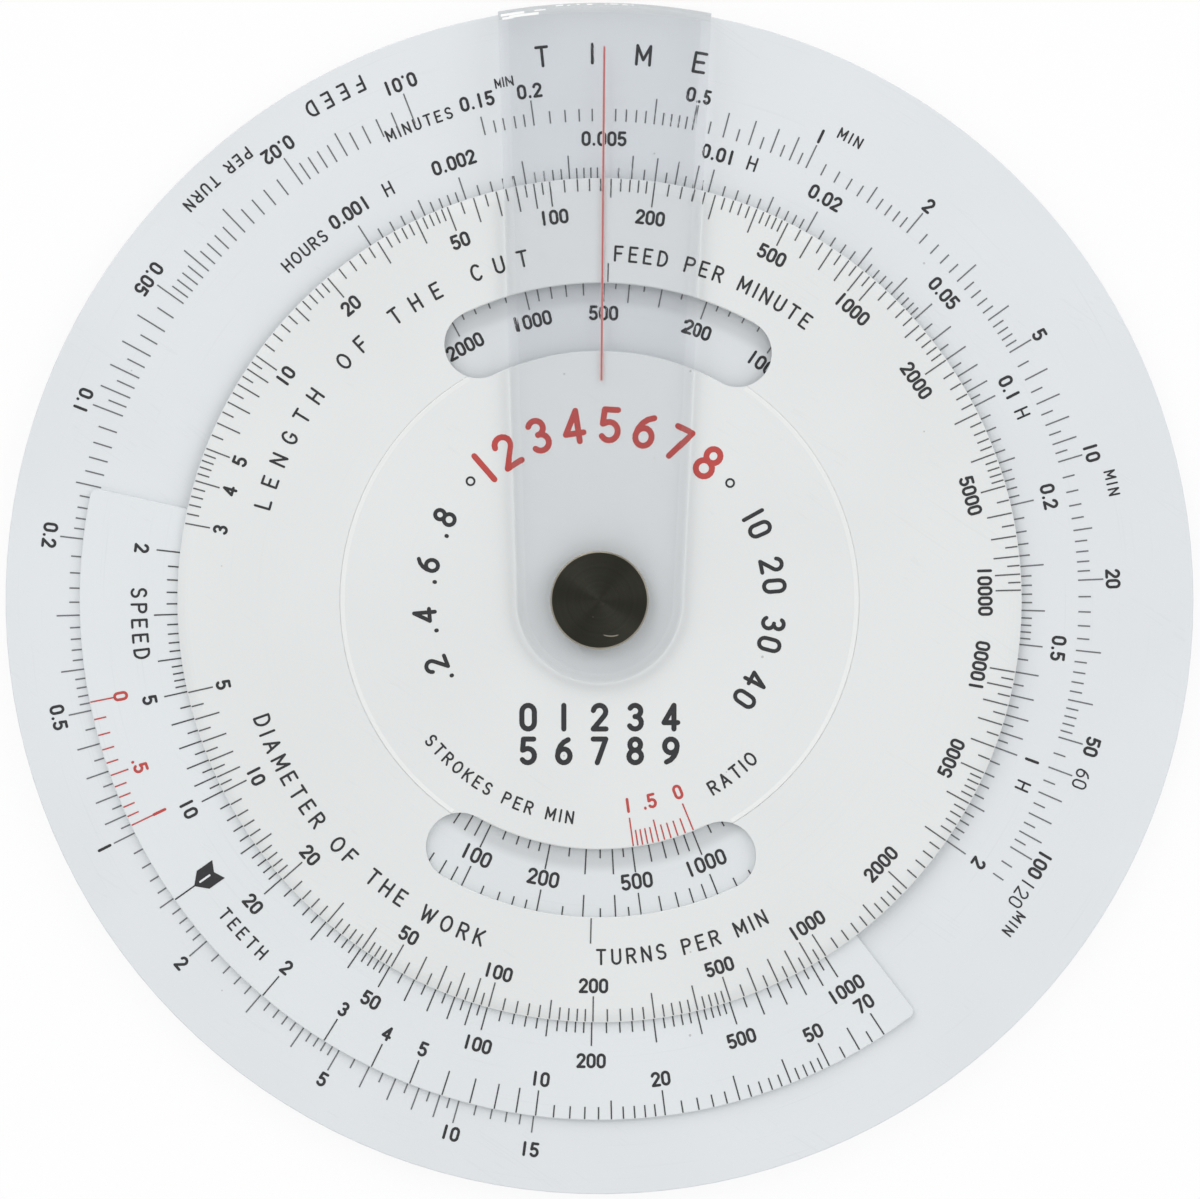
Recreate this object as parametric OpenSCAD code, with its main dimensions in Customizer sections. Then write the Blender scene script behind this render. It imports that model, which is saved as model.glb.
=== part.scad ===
// Circular slide rule for machining times: a base disc, a sector plate, a windowed top disc and a
// folded clear cursor that turn on one rivet.
// Millimetres. The origin lies on the pivot axis in the plane that the rule rests on, +Z is up, and
// angles run counter-clockwise from +X. The plates stand at the setting at which they are shown.

/* [Base disc] */
// Diameter of the base disc
base_d = 120; // [117:0.5:130]
// Thickness of the base disc
base_t = 1; // [0.8:0.1:2]
// Chamfer on the rims of the plates
rim_chamfer = 0.08; // [0.04:0.02:0.24]

/* [Sector plate] */
// Diameter of the wing's outer arc
sector_d = 105; // [101:0.5:108]
// Thickness of the sector plate
sector_t = 0.5; // [0.4:0.1:1]
// Angle at which the wing starts
sector_start = 167.5; // [0:0.5:360]
// Angle that the wing takes up
sector_span = 140; // [120:1:170]
// Diameter of the round hub under the top disc
hub_d = 49; // [30:0.5:49.5]
// Radius of the wing's outer corners
corner_r = 0.8; // [0.4:0.1:2]

/* [Top disc] */
// Diameter of the top disc
top_d = 85.2; // [80:0.2:88]
// Thickness of the top disc
top_t = 0.6; // [0.5:0.1:1]
// Angle of the index line at the upper window
top_turn = 88.5; // [0:0.5:360]
// Width of the rolled rim
roll_w = 1.5; // [0.5:0.1:2]
// How far the rolled rim falls
roll_t = 0.18; // [0.05:0.01:0.3]
// Radius of the windows' inner edges
window_r = 25.15; // [25.15:0.05:27]
// Width of the windows
window_w = 6.85; // [5:0.05:7.5]
// Angle between the end centres of the upper window
upper_window_span = 54.5; // [30:0.1:70]
// Angle between the end centres of the lower window
lower_window_span = 55.1; // [30:0.1:70]
// Angle from an index line to the middle of its window
window_shift = -0.45; // [-2:0.05:2]
// Chamfer on the windows' upper edges
window_chamfer = 0.1; // [0.04:0.01:0.2]
// Diameter of the disc that is laid into the top disc
inlay_d = 52.2; // [51.6:0.1:56]
// Thickness of that inlay
inlay_t = 0.2; // [0.1:0.05:0.3]
// Width of the seam around the inlay
seam_w = 0.12; // [0.05:0.01:0.2]

/* [Cursor] */
// Angle at which the cursor stands
cursor_turn = 89.5; // [0:0.5:360]
// Width of the cursor's round end, at the pivot
cursor_pivot_w = 16.8; // [14:0.1:19]
// Width of the cursor at the rim of the base disc
cursor_rim_w = 21.6; // [19.5:0.1:26]
// Thickness of the cursor's two leaves
leaf_t = 0.7; // [0.5:0.1:1]
// Thickness of the fold outside the rim
fold_t = 0.2; // [0.15:0.05:0.8]
// Gap between the rim and the fold
fold_gap = 0.05; // [0.05:0.05:0.4]
// Outer radius of the fold's bends
fold_r = 0.9; // [0.6:0.05:1]
// Width of the bevel along the front leaf's edges
bevel_w = 1; // [0.2:0.05:1.5]
// Depth of that bevel
bevel_t = 0.14; // [0.1:0.02:0.4]
// Width of the hairline
hairline_w = 0.16; // [0.1:0.01:0.5]
// Radius at which the hairline starts
hairline_from = 22.2; // [10:0.1:30]
// Distance from the hairline's outer end to the rim of the base disc
hairline_inset = 4.2; // [2:0.1:10]

/* [Rivet] */
// Diameter of the rivet's head and back flange
head_d = 9.9; // [8:0.1:12]
// Thickness of the head
head_t = 1; // [0.6:0.1:2]
// Thickness of the back flange
flange_t = 0.6; // [0.4:0.1:1]
// Chamfer of the head and the back flange
head_chamfer = 0.15; // [0.05:0.05:0.3]
// Diameter of the tube that the plates turn on
tube_d = 5; // [4:0.1:6]
// Diameter of the post in the tube
post_d = 3; // [2:0.1:3.4]
// Diameter of the spacer washers
washer_d = 9; // [7:0.1:9]
// Thickness of the spacer washers
washer_t = 0.25; // [0.15:0.05:0.6]

/* [Printing] */
// Angle that a tenfold step takes up on every scale
decade = 47.72; // [40:0.01:48]
// Thickness of the ink
ink_t = 0.03; // [0.02:0.005:0.04]
// Width of a graduation line
line_w = 0.14; // [0.1:0.01:0.25]
// Length of a minor line
minor_line = 1.25; // [0.8:0.05:1.6]
// Length of a middle line
middle_line = 1.9; // [1.6:0.05:2.2]
// Length of a major line
major_line = 2.55; // [2.2:0.05:3]
// How much longer the lines of the feed scale are
feed_line_extra = 0.7; // [0:0.05:1]
// How much longer the lines of the ratio scale on the top disc are
ratio_line_extra = 0.35; // [0:0.05:1]
// How far the feed lines start inside the wing's outer arc
feed_tuck = 0.9; // [0.5:0.1:2]
// How far the lines beside the top disc start under its rim
rim_tuck = 0.15; // [0.05:0.05:0.5]
// How far the feed-rate lines start under the upper window's outer edge
feed_rate_tuck = 0.7; // [0.1:0.05:1.2]
// How far the spindle lines start under the lower window's edges
spindle_tuck = 0.35; // [0.1:0.05:1]
// How much longer the major spindle lines are along the lower window's inner edge
spindle_line_extra = 0.35; // [0:0.05:0.6]
// Distance from the top disc's rim to the minute lines
minute_offset = 5.78; // [5:0.01:7]
// Least gap between what is printed from the two sides of a ring
row_gap = 0.3; // [0.1:0.1:1]
// Length of the pointer's tag
tag_l = 3; // [2:0.1:4]
// Width of the pointer's tag
tag_w = 2.2; // [1.5:0.1:3]
// Length of the leader line from the tag's tip to the outer ends of the wing's lines
leader_l = 2.35; // [1.5:0.05:3]

/* [Hidden] */
$fn = 128;
// Running gap between the faces of neighbouring plates
face_gap = 0.06;
// Radial clearance of the plates on the tube
bore_gap = 0.05;
// Radial clearance of the post in the tube
post_gap = 0.02;
// Margin of a cutting shape beyond what it cuts
over = 1;
// Steps in which the top disc's rim rolls down
roll_steps = 4;
// How far a round stretch reaches past the edge that it runs into, so that the two cross cleanly
ease = 0.02;

base_r = base_d / 2;
sector_r = sector_d / 2;
top_r = top_d / 2;
hub_r = hub_d / 2;
head_r = head_d / 2;
tube_r = tube_d / 2;
post_r = post_d / 2;
bore_r = tube_r + bore_gap;
inlay_r = inlay_d / 2;
// Chamfer of the wing, which its thickness limits
wing_chamfer = min(rim_chamfer, sector_t / 3);
window_out = window_r + window_w;
upper_middle = top_turn + window_shift;
lower_middle = upper_middle + 180;
minute_r = top_r + minute_offset;
sector_end = sector_start + sector_span;

// Heights of the stack, from the back flange to the head
rear_leaf_z = flange_t + face_gap;
rear_washer_z = rear_leaf_z + leaf_t + face_gap;
base_z = rear_washer_z + washer_t;
base_top = base_z + base_t;
sector_z = base_top + face_gap;
sector_top = sector_z + sector_t;
top_z = sector_top + face_gap;
top_top = top_z + top_t;
front_washer_z = top_top + face_gap;
front_leaf_z = front_washer_z + washer_t + face_gap;
front_leaf_top = front_leaf_z + leaf_t;
head_z = front_leaf_top + face_gap;
head_top = head_z + head_t;
post_end = flange_t / 2 + face_gap;

// Angles at which the value 1 stands on each scale, or 0 on a ratio scale
feed_one = 206.6;
minute_one = 64.48;
hour_one = minute_one - turn(60);
feed_rate_one = -39.6;
speed_one = sector_start - 8.35;
teeth_one = sector_start + 47.7;
spindle_one = sector_start - 18.75;
sector_ratio_zero = sector_start + 23.83;
length_one = top_turn + 103.75;
diameter_one = top_turn + 70.8;
disc_ratio_zero = top_turn + 203.7;

// Half the taper between the cursor's sides, which run tangent to its round end
pivot_hw = cursor_pivot_w / 2;
rim_hw = cursor_rim_w / 2;
side_d = pivot_hw - ease;
taper = atan(rim_hw / base_r) - asin(side_d / norm([rim_hw, base_r]));
fold_out = base_r + fold_gap + fold_t;

white = "#dfe2e4";
black = "#26282b";
red = "#bd463f";
clear = [0.8, 0.85, 0.87, 0.35];
nickel = "#8c887c";

// Values of one decade with the rank of their lines: 0 minor, 1 middle, 2 major
fine = [
    for (i = [0:9]) [1 + i / 10, i == 0 ? 2 : i == 5 ? 1 : 0],
    for (i = [0:14]) [2 + i / 5, i % 5 == 0 ? 2 : 0],
    for (i = [0:9]) [5 + i / 2, i % 2 == 0 ? 2 : 0]
];
coarse = [
    for (i = [0:4]) [1 + i / 5, i == 0 ? 2 : 0],
    for (i = [0:5]) [2 + i / 2, i % 2 == 0 ? 2 : 0],
    for (i = [0:4]) [5 + i, i == 0 ? 2 : 1]
];
whole = [for (i = [1:9]) [i, 2]];
line_lengths = [minor_line, middle_line, major_line];

// Line lengths that are all longer by the same amount
function longer_lines(extra) = [for (n = line_lengths) n + extra];

// Line lengths for two rows that face each other across a ring of this width, shortened alike where
// the longest wouldn't fit
function facing_lines(width) = line_lengths * min(1, (width - row_gap) / 2 / major_line);

wing_ring = sector_r - top_r;
wing_lines = facing_lines(wing_ring);
window_lines = facing_lines(window_w);
// Shares of the extra length that the minor, middle and major spindle lines take
extra_shares = [0, 0.6, 1];
// Room that the wing's inner row leaves for the pointer, whose tail meets a middle line
pointer_room = wing_ring - wing_lines[1] - row_gap - wing_chamfer;

// Turn of a value from the value 1 on a scale
function turn(value) = decade * log(value);

// Lines of a scale from low to high as [angle, rank], with the value 1 at the angle one
function log_lines(low, high, one, pattern, way = 1) = [
    for (d = [floor(log(low)):floor(log(high) + 0.001)])
    for (m = pattern)
    let (value = m[0] * pow(10, d))
    if (value > low * 0.999 && value < high * 1.001)
    [one + way * turn(value), m[1]]
];

// Lines of a return-ratio scale, from 0 to 1 by tenths
function ratio_lines(zero, way = 1) = [
    for (i = [0:10])
    [zero + way * turn(1 + i / 10), i % 10 == 0 ? 2 : i == 5 ? 1 : 0]
];

// Only those lines that fall on the wing of the sector plate
function on_wing(lines, margin = 1) = [
    for (l = lines)
    if (l[0] > sector_start + margin && l[0] < sector_end - margin) l
];

// Points of the top disc's upper face from its axis to its rolled rim, raised by lift
function top_face(lift) = [
    [0, top_top + lift],
    for (i = [0:roll_steps])
    let (share = i / roll_steps)
    [top_r - roll_w * (1 - share), top_top + lift - roll_t * share * share]
];

function reversed(points) = [for (i = [len(points) - 1:-1:0]) points[i]];

// Printed lines on the face at z that run outwards from the radius r, or inwards from it
module line_ring(lines, r, z, lengths = line_lengths, inwards = false, t = ink_t) {
    for (l = lines)
        rotate(l[0])
            translate([inwards ? r - lengths[l[1]] : r, -line_w / 2, z])
                cube([lengths[l[1]], line_w, t]);
}

// Printed lines that run inwards from the top disc's edge and follow its rolled rim
module rim_lines(lines) {
    intersection() {
        line_ring(
            lines,
            top_r - rim_chamfer,
            top_top - roll_t,
            inwards = true,
            t = roll_t + over
        );
        rotate_extrude()
            polygon(concat(top_face(0), reversed(top_face(ink_t))));
    }
}

// Disc with chamfered rims from z up to z + t
module rimmed_disc(r, t, z, chamfer) {
    rotate_extrude()
        polygon([
            [0, z],
            [r - chamfer, z],
            [r, z + chamfer],
            [r, z + t - chamfer],
            [r - chamfer, z + t],
            [0, z + t]
        ]);
}

module pivot_bore() {
    translate([0, 0, -over])
        cylinder(r = bore_r, h = head_top + 2 * over);
}

// Outline of a wedge with its point on the axis, reaching past the radius r
module wedge(from, span, r) {
    steps = 8;
    polygon([
        [0, 0],
        for (i = [0:steps])
        let (a = from + span * i / steps)
        2 * r * [cos(a), sin(a)]
    ]);
}

// What rounds off a corner that points to +X and +Y, with the middle of the round at the origin
module round_off(r) {
    difference() {
        square(1.6 * r);
        circle(r = r + ease);
    }
}

// What rounds off a corner of the wing: side is 1 at its start and -1 at its end
module corner_cut(angle, side) {
    lean = asin(corner_r / (sector_r - corner_r));
    rotate(angle)
        translate([(sector_r - corner_r) * cos(lean), side * corner_r])
            mirror([0, side + 1])
                round_off(corner_r);
}

// What chamfers a straight edge of the wing: side is 1 at its start and -1 at its end
module edge_chamfer(angle, side) {
    rotate(angle)
        mirror([0, side - 1, 0])
            translate([hub_r + corner_r, 0, 0])
                rotate([90, 0, 90])
                    linear_extrude(sector_r)
                        polygon([
                            [wing_chamfer + over, sector_top + over],
                            [-over, sector_top + over],
                            [-over, sector_top - wing_chamfer - over]
                        ]);
}

// What chamfers the wing's outer arc
module arc_chamfer() {
    rotate_extrude()
        polygon([
            [sector_r + over, sector_top - wing_chamfer - over],
            [sector_r + over, sector_top + over],
            [sector_r - wing_chamfer - over, sector_top + over]
        ]);
}

// Outline of a window: a curved slot with round ends
module window(middle, span) {
    half = window_w / 2;
    difference() {
        intersection() {
            circle(r = window_out);
            wedge(middle - span / 2, span, window_out);
        }
        circle(r = window_r);
    }
    for (a = [middle - span / 2, middle + span / 2])
        rotate(a)
            translate([window_r + half, 0])
                circle(r = half + ease);
}

module both_windows() {
    translate([0, 0, top_z - over])
        linear_extrude(top_t + 2 * over) {
            window(upper_middle, upper_window_span);
            window(lower_middle, lower_window_span);
        }
}

// What chamfers the two curved edges of a window
module window_chamfers(middle, span) {
    low = top_top - window_chamfer - over;
    high = top_top + over;
    rotate(middle - span / 2)
        rotate_extrude(angle = span)
            polygon([
                [window_r + over, low],
                [window_r + over, high],
                [window_r - window_chamfer - over, high]
            ]);
    rotate(middle - span / 2)
        rotate_extrude(angle = span)
            polygon([
                [window_out - over, low],
                [window_out + window_chamfer + over, high],
                [window_out - over, high]
            ]);
}

module both_window_chamfers() {
    window_chamfers(upper_middle, upper_window_span);
    window_chamfers(lower_middle, lower_window_span);
}

module base_disc() {
    color(white)
        difference() {
            rimmed_disc(base_r, base_t, base_z, rim_chamfer);
            pivot_bore();
        }
}

// Feeds from 0.01 to 15, counter-clockwise around the outer left half
module feed_scale() {
    color(black)
        line_ring(
            log_lines(0.01, 15, feed_one, fine),
            sector_r - feed_tuck,
            base_top,
            longer_lines(feed_line_extra)
        );
}

// Times from 0.15 to 120 minutes, clockwise
module minute_scale() {
    color(black)
        line_ring(log_lines(0.15, 120, minute_one, fine, -1), minute_r, base_top);
}

// Times from 0.001 to 2 hours, in step with the minutes
module hour_scale() {
    color(black)
        line_ring(log_lines(0.001, 2, hour_one, fine, -1), top_r - rim_tuck, base_top);
}

// Feed rates from 10 to 5000, counter-clockwise, of which the upper window shows a part
module feed_rate_scale() {
    color(black)
        line_ring(
            log_lines(10, 5000, feed_rate_one, coarse),
            window_out + feed_rate_tuck,
            base_top,
            inwards = true
        );
}

module sector_plate() {
    color(white)
        difference() {
            translate([0, 0, sector_z])
                linear_extrude(sector_t)
                    difference() {
                        union() {
                            circle(r = hub_r);
                            intersection() {
                                circle(r = sector_r);
                                wedge(sector_start, sector_span, sector_r);
                            }
                        }
                        corner_cut(sector_start, 1);
                        corner_cut(sector_end, -1);
                    }
            edge_chamfer(sector_start, 1);
            edge_chamfer(sector_end, -1);
            arc_chamfer();
            pivot_bore();
        }
}

// Cutting speeds from 2 to 1000, counter-clockwise along the top disc
module speed_scale() {
    color(black)
        line_ring(
            on_wing(log_lines(2, 1000, speed_one, fine)),
            top_r - rim_tuck,
            sector_top,
            wing_lines
        );
}

// Numbers of teeth from 2 to 70 along the wing's rim, with the pointer where 1 would be
module teeth_scale() {
    color(black)
        line_ring(
            on_wing(concat(
                log_lines(2, 9, teeth_one, whole),
                log_lines(10, 70, teeth_one, fine)
            )),
            sector_r - wing_chamfer,
            sector_top,
            wing_lines,
            inwards = true
        );
}

// Spindle speeds from 5 to 1800, on both sides of the ring that the lower window shows
module spindle_scale() {
    lines = on_wing(log_lines(5, 1800, spindle_one, coarse));
    inner_lines = window_lines + spindle_line_extra * extra_shares;
    color(black) {
        line_ring(lines, window_out + spindle_tuck, sector_top, window_lines, inwards = true);
        line_ring(lines, window_r - spindle_tuck, sector_top, inner_lines);
    }
}

module sector_ratio_scale() {
    color(red)
        line_ring(
            on_wing(ratio_lines(sector_ratio_zero)),
            sector_r - wing_chamfer,
            sector_top,
            wing_lines,
            inwards = true
        );
}

// Black tag with a notched tail, and the leader line from its point to the rim
module sector_pointer() {
    half = tag_w / 2;
    body_l = min(tag_l, pointer_room);
    tip_r = sector_r - wing_chamfer - min(leader_l, pointer_room - body_l);
    tail_r = tip_r - body_l;
    color(black)
        rotate(teeth_one)
            translate([0, 0, sector_top])
                linear_extrude(ink_t) {
                    polygon([
                        [tip_r, 0],
                        [tip_r - half, half],
                        [tail_r, half],
                        [tail_r + half / 2, 0],
                        [tail_r, -half],
                        [tip_r - half, -half]
                    ]);
                    translate([tip_r - half / 2, -line_w / 2])
                        square([sector_r - wing_chamfer - tip_r + half / 2, line_w]);
                }
}

module top_disc() {
    color(white)
        difference() {
            rotate_extrude()
                polygon(concat(
                    [
                        [0, top_z],
                        [top_r - rim_chamfer, top_z],
                        [top_r, top_z + rim_chamfer]
                    ],
                    reversed(top_face(0))
                ));
            translate([0, 0, top_top - inlay_t])
                cylinder(r = inlay_r + seam_w, h = inlay_t + over);
            both_windows();
            both_window_chamfers();
            pivot_bore();
        }
}

module centre_inlay() {
    color(white)
        difference() {
            translate([0, 0, top_top - inlay_t])
                cylinder(r = inlay_r, h = inlay_t);
            both_windows();
            both_window_chamfers();
            pivot_bore();
        }
}

// Lengths from 3 to 10000, clockwise along the upper rim
module length_scale() {
    color(black)
        rim_lines(log_lines(3, 10000, length_one, fine, -1));
}

// Diameters from 5 to 10000, counter-clockwise along the lower rim
module diameter_scale() {
    color(black)
        rim_lines(log_lines(5, 10000, diameter_one, fine));
}

// Return ratios inside the lower window
module disc_ratio_scale() {
    color(red)
        line_ring(
            ratio_lines(disc_ratio_zero, -1),
            window_r - window_chamfer,
            top_top,
            longer_lines(ratio_line_extra),
            inwards = true
        );
}

// Index lines outside the windows
module index_lines() {
    color(black)
        line_ring([[top_turn, 1], [top_turn + 180, 2]], window_out + window_chamfer, top_top);
}

// Outline of the cursor seen from above, with its axis along +Y
module cursor_outline() {
    foot = side_d * [cos(taper), -sin(taper)];
    end_y = fold_out + over;
    end_x = foot.x + (end_y - foot.y) * tan(taper);
    circle(r = pivot_hw);
    polygon([
        foot,
        [end_x, end_y],
        [-end_x, end_y],
        [-foot.x, foot.y]
    ]);
}

// Section of the folded strip from the axis to the fold
module fold_section() {
    tall = front_leaf_top - rear_leaf_z;
    difference() {
        translate([0, rear_leaf_z])
            square([fold_out, tall]);
        translate([0, rear_leaf_z + leaf_t])
            square([base_r + fold_gap, tall - 2 * leaf_t]);
        translate([fold_out - fold_r, front_leaf_top - fold_r])
            round_off(fold_r);
        translate([fold_out - fold_r, rear_leaf_z + fold_r])
            mirror([0, 1])
                round_off(fold_r);
    }
}

// Section of the space above the bevel, measured outwards from the edge, whose slope runs on above
// the leaf
module bevel_section() {
    polygon([
        [-2 * bevel_w, front_leaf_top + bevel_t],
        [over, front_leaf_top - bevel_t * (1 + over / bevel_w)],
        [over, front_leaf_top + bevel_t]
    ]);
}

module edge_bevels() {
    rotate(180 + taper)
        rotate_extrude(angle = 180 - 2 * taper)
            translate([pivot_hw, 0])
                bevel_section();
    for (side = [0, 1])
        mirror([side, 0, 0])
            rotate(-taper)
                translate([side_d, fold_out + over, 0])
                    rotate([90, 0, 0])
                        linear_extrude(fold_out + 3 * over)
                            bevel_section();
}

module cursor() {
    color(clear)
        rotate(cursor_turn - 90)
            difference() {
                intersection() {
                    rotate_extrude()
                        fold_section();
                    linear_extrude(head_top)
                        cursor_outline();
                }
                edge_bevels();
                pivot_bore();
            }
}

// Red line on the underside of the front leaf
module hairline() {
    color(red)
        rotate(cursor_turn)
            translate([hairline_from, -hairline_w / 2, front_leaf_z - ink_t])
                cube([base_r - hairline_inset - hairline_from, hairline_w, ink_t]);
}

module washer(z) {
    difference() {
        translate([0, 0, z])
            cylinder(d = washer_d, h = washer_t);
        pivot_bore();
    }
}

module front_washer() {
    color(white)
        washer(front_washer_z);
}

module rear_washer() {
    color(white)
        washer(rear_washer_z);
}

// Turned head with the post that is driven into the tube
module rivet_head() {
    color(nickel)
        rotate_extrude()
            polygon([
                [0, post_end],
                [post_r, post_end],
                [post_r, head_z],
                [head_r, head_z],
                [head_r, head_top - head_chamfer],
                [head_r - head_chamfer, head_top],
                [0, head_top]
            ]);
}

// Back flange with the tube that runs through the stack up to the head
module rivet_socket() {
    color(nickel)
        rotate_extrude()
            polygon([
                [0, 0],
                [head_r - head_chamfer, 0],
                [head_r, head_chamfer],
                [head_r, flange_t],
                [tube_r, flange_t],
                [tube_r, head_z],
                [post_r + post_gap, head_z],
                [post_r + post_gap, flange_t / 2],
                [0, flange_t / 2]
            ]);
}

base_disc();
feed_scale();
minute_scale();
hour_scale();
feed_rate_scale();
sector_plate();
speed_scale();
teeth_scale();
spindle_scale();
sector_ratio_scale();
sector_pointer();
top_disc();
centre_inlay();
length_scale();
diameter_scale();
disc_ratio_scale();
index_lines();
cursor();
hairline();
front_washer();
rear_washer();
rivet_head();
rivet_socket();
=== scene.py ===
"""Circular slide rule: printed numbers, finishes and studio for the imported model."""

import math
from collections import namedtuple

import bmesh
import bpy
from bpy.props import FloatProperty, FloatVectorProperty, PointerProperty
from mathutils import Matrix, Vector


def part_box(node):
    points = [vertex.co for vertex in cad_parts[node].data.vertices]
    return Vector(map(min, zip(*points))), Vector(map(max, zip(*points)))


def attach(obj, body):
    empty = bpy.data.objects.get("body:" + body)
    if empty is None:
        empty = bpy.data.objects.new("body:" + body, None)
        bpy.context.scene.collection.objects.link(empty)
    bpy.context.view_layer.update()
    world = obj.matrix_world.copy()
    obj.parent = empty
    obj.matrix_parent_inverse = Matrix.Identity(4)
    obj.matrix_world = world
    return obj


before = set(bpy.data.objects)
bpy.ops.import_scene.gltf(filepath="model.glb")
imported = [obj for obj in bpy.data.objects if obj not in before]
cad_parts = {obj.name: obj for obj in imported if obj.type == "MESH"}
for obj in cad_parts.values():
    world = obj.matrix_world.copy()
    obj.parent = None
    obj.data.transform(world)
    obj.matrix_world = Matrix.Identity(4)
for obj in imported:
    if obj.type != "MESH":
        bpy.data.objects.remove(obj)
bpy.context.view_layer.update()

bl_info = {
    "name": "Circular slide rule",
    "version": (1, 0, 0),
    "blender": (4, 5, 0),
    "location": "View3D > Sidebar > Slide rule",
    "description": "Prints the numbers and sets the finishes and studio of a circular slide rule",
    "category": "Object",
}

MM = 0.001

# Sizes of the rule that the printing follows, in metres
RIVET_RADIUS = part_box("rivet_head")[1].x
RIM_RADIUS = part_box("base_disc")[1].x
BASE_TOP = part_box("base_disc")[1].z
SECTOR_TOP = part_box("sector_plate")[1].z
TOP_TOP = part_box("top_disc")[1].z
TOP_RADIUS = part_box("top_disc")[1].x
CURSOR_LOW, CURSOR_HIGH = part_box("cursor")

# Degrees that a tenfold change of value takes on every scale
DECADE = 47.72

# Degrees between the points of a rounded stroke, and between the rings of a band about the pivot
ARC_STEP = 20
BAND_STEP = 1

# Turn at which the pen is set down anew, and the height that each new stroke adds
SHARP_TURN = math.radians(48)
LAYER = 0.001 * MM

# Turns of the points that round a stroke's end, the least cosine at a mitre, and how near, in half widths, a
# stroke's two ends meet
END_TURNS = (35, 60, 80)
MITRE_LEAST = 0.6
CLOSE_SHARE = 0.05

# Room that a digit and a point take, in stroke heights
DIGIT_CELL = 0.82
POINT_CELL = 0.46


def line(*points):
    """Points of a straight pen stroke."""
    return [Vector(point) for point in points]


def arc(x, y, wide, tall, start=0, end=360):
    """Points of an elliptic pen stroke about x, y, from one angle to another."""
    steps = max(2, round(abs(end - start) / ARC_STEP))
    turns = [math.radians(start + (end - start) * step / steps) for step in range(steps + 1)]
    return [Vector((x + wide * math.cos(a), y + tall * math.sin(a))) for a in turns]


def half_turned(stroke, width):
    """A stroke turned half round inside its digit."""
    return [Vector((width - point.x, 1 - point.y)) for point in stroke]


Glyph = namedtuple("Glyph", "width strokes")

SIX = [arc(0.265, 0.29, 0.265, 0.29), arc(0.62, 0.29, 0.62, 0.71, 180, 106)]
BOWL = line((0, 0), (0, 1), (0.3, 1)) + arc(0.3, 0.755, 0.245, 0.245, 90, -90) + line((0, 0.51))

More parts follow.
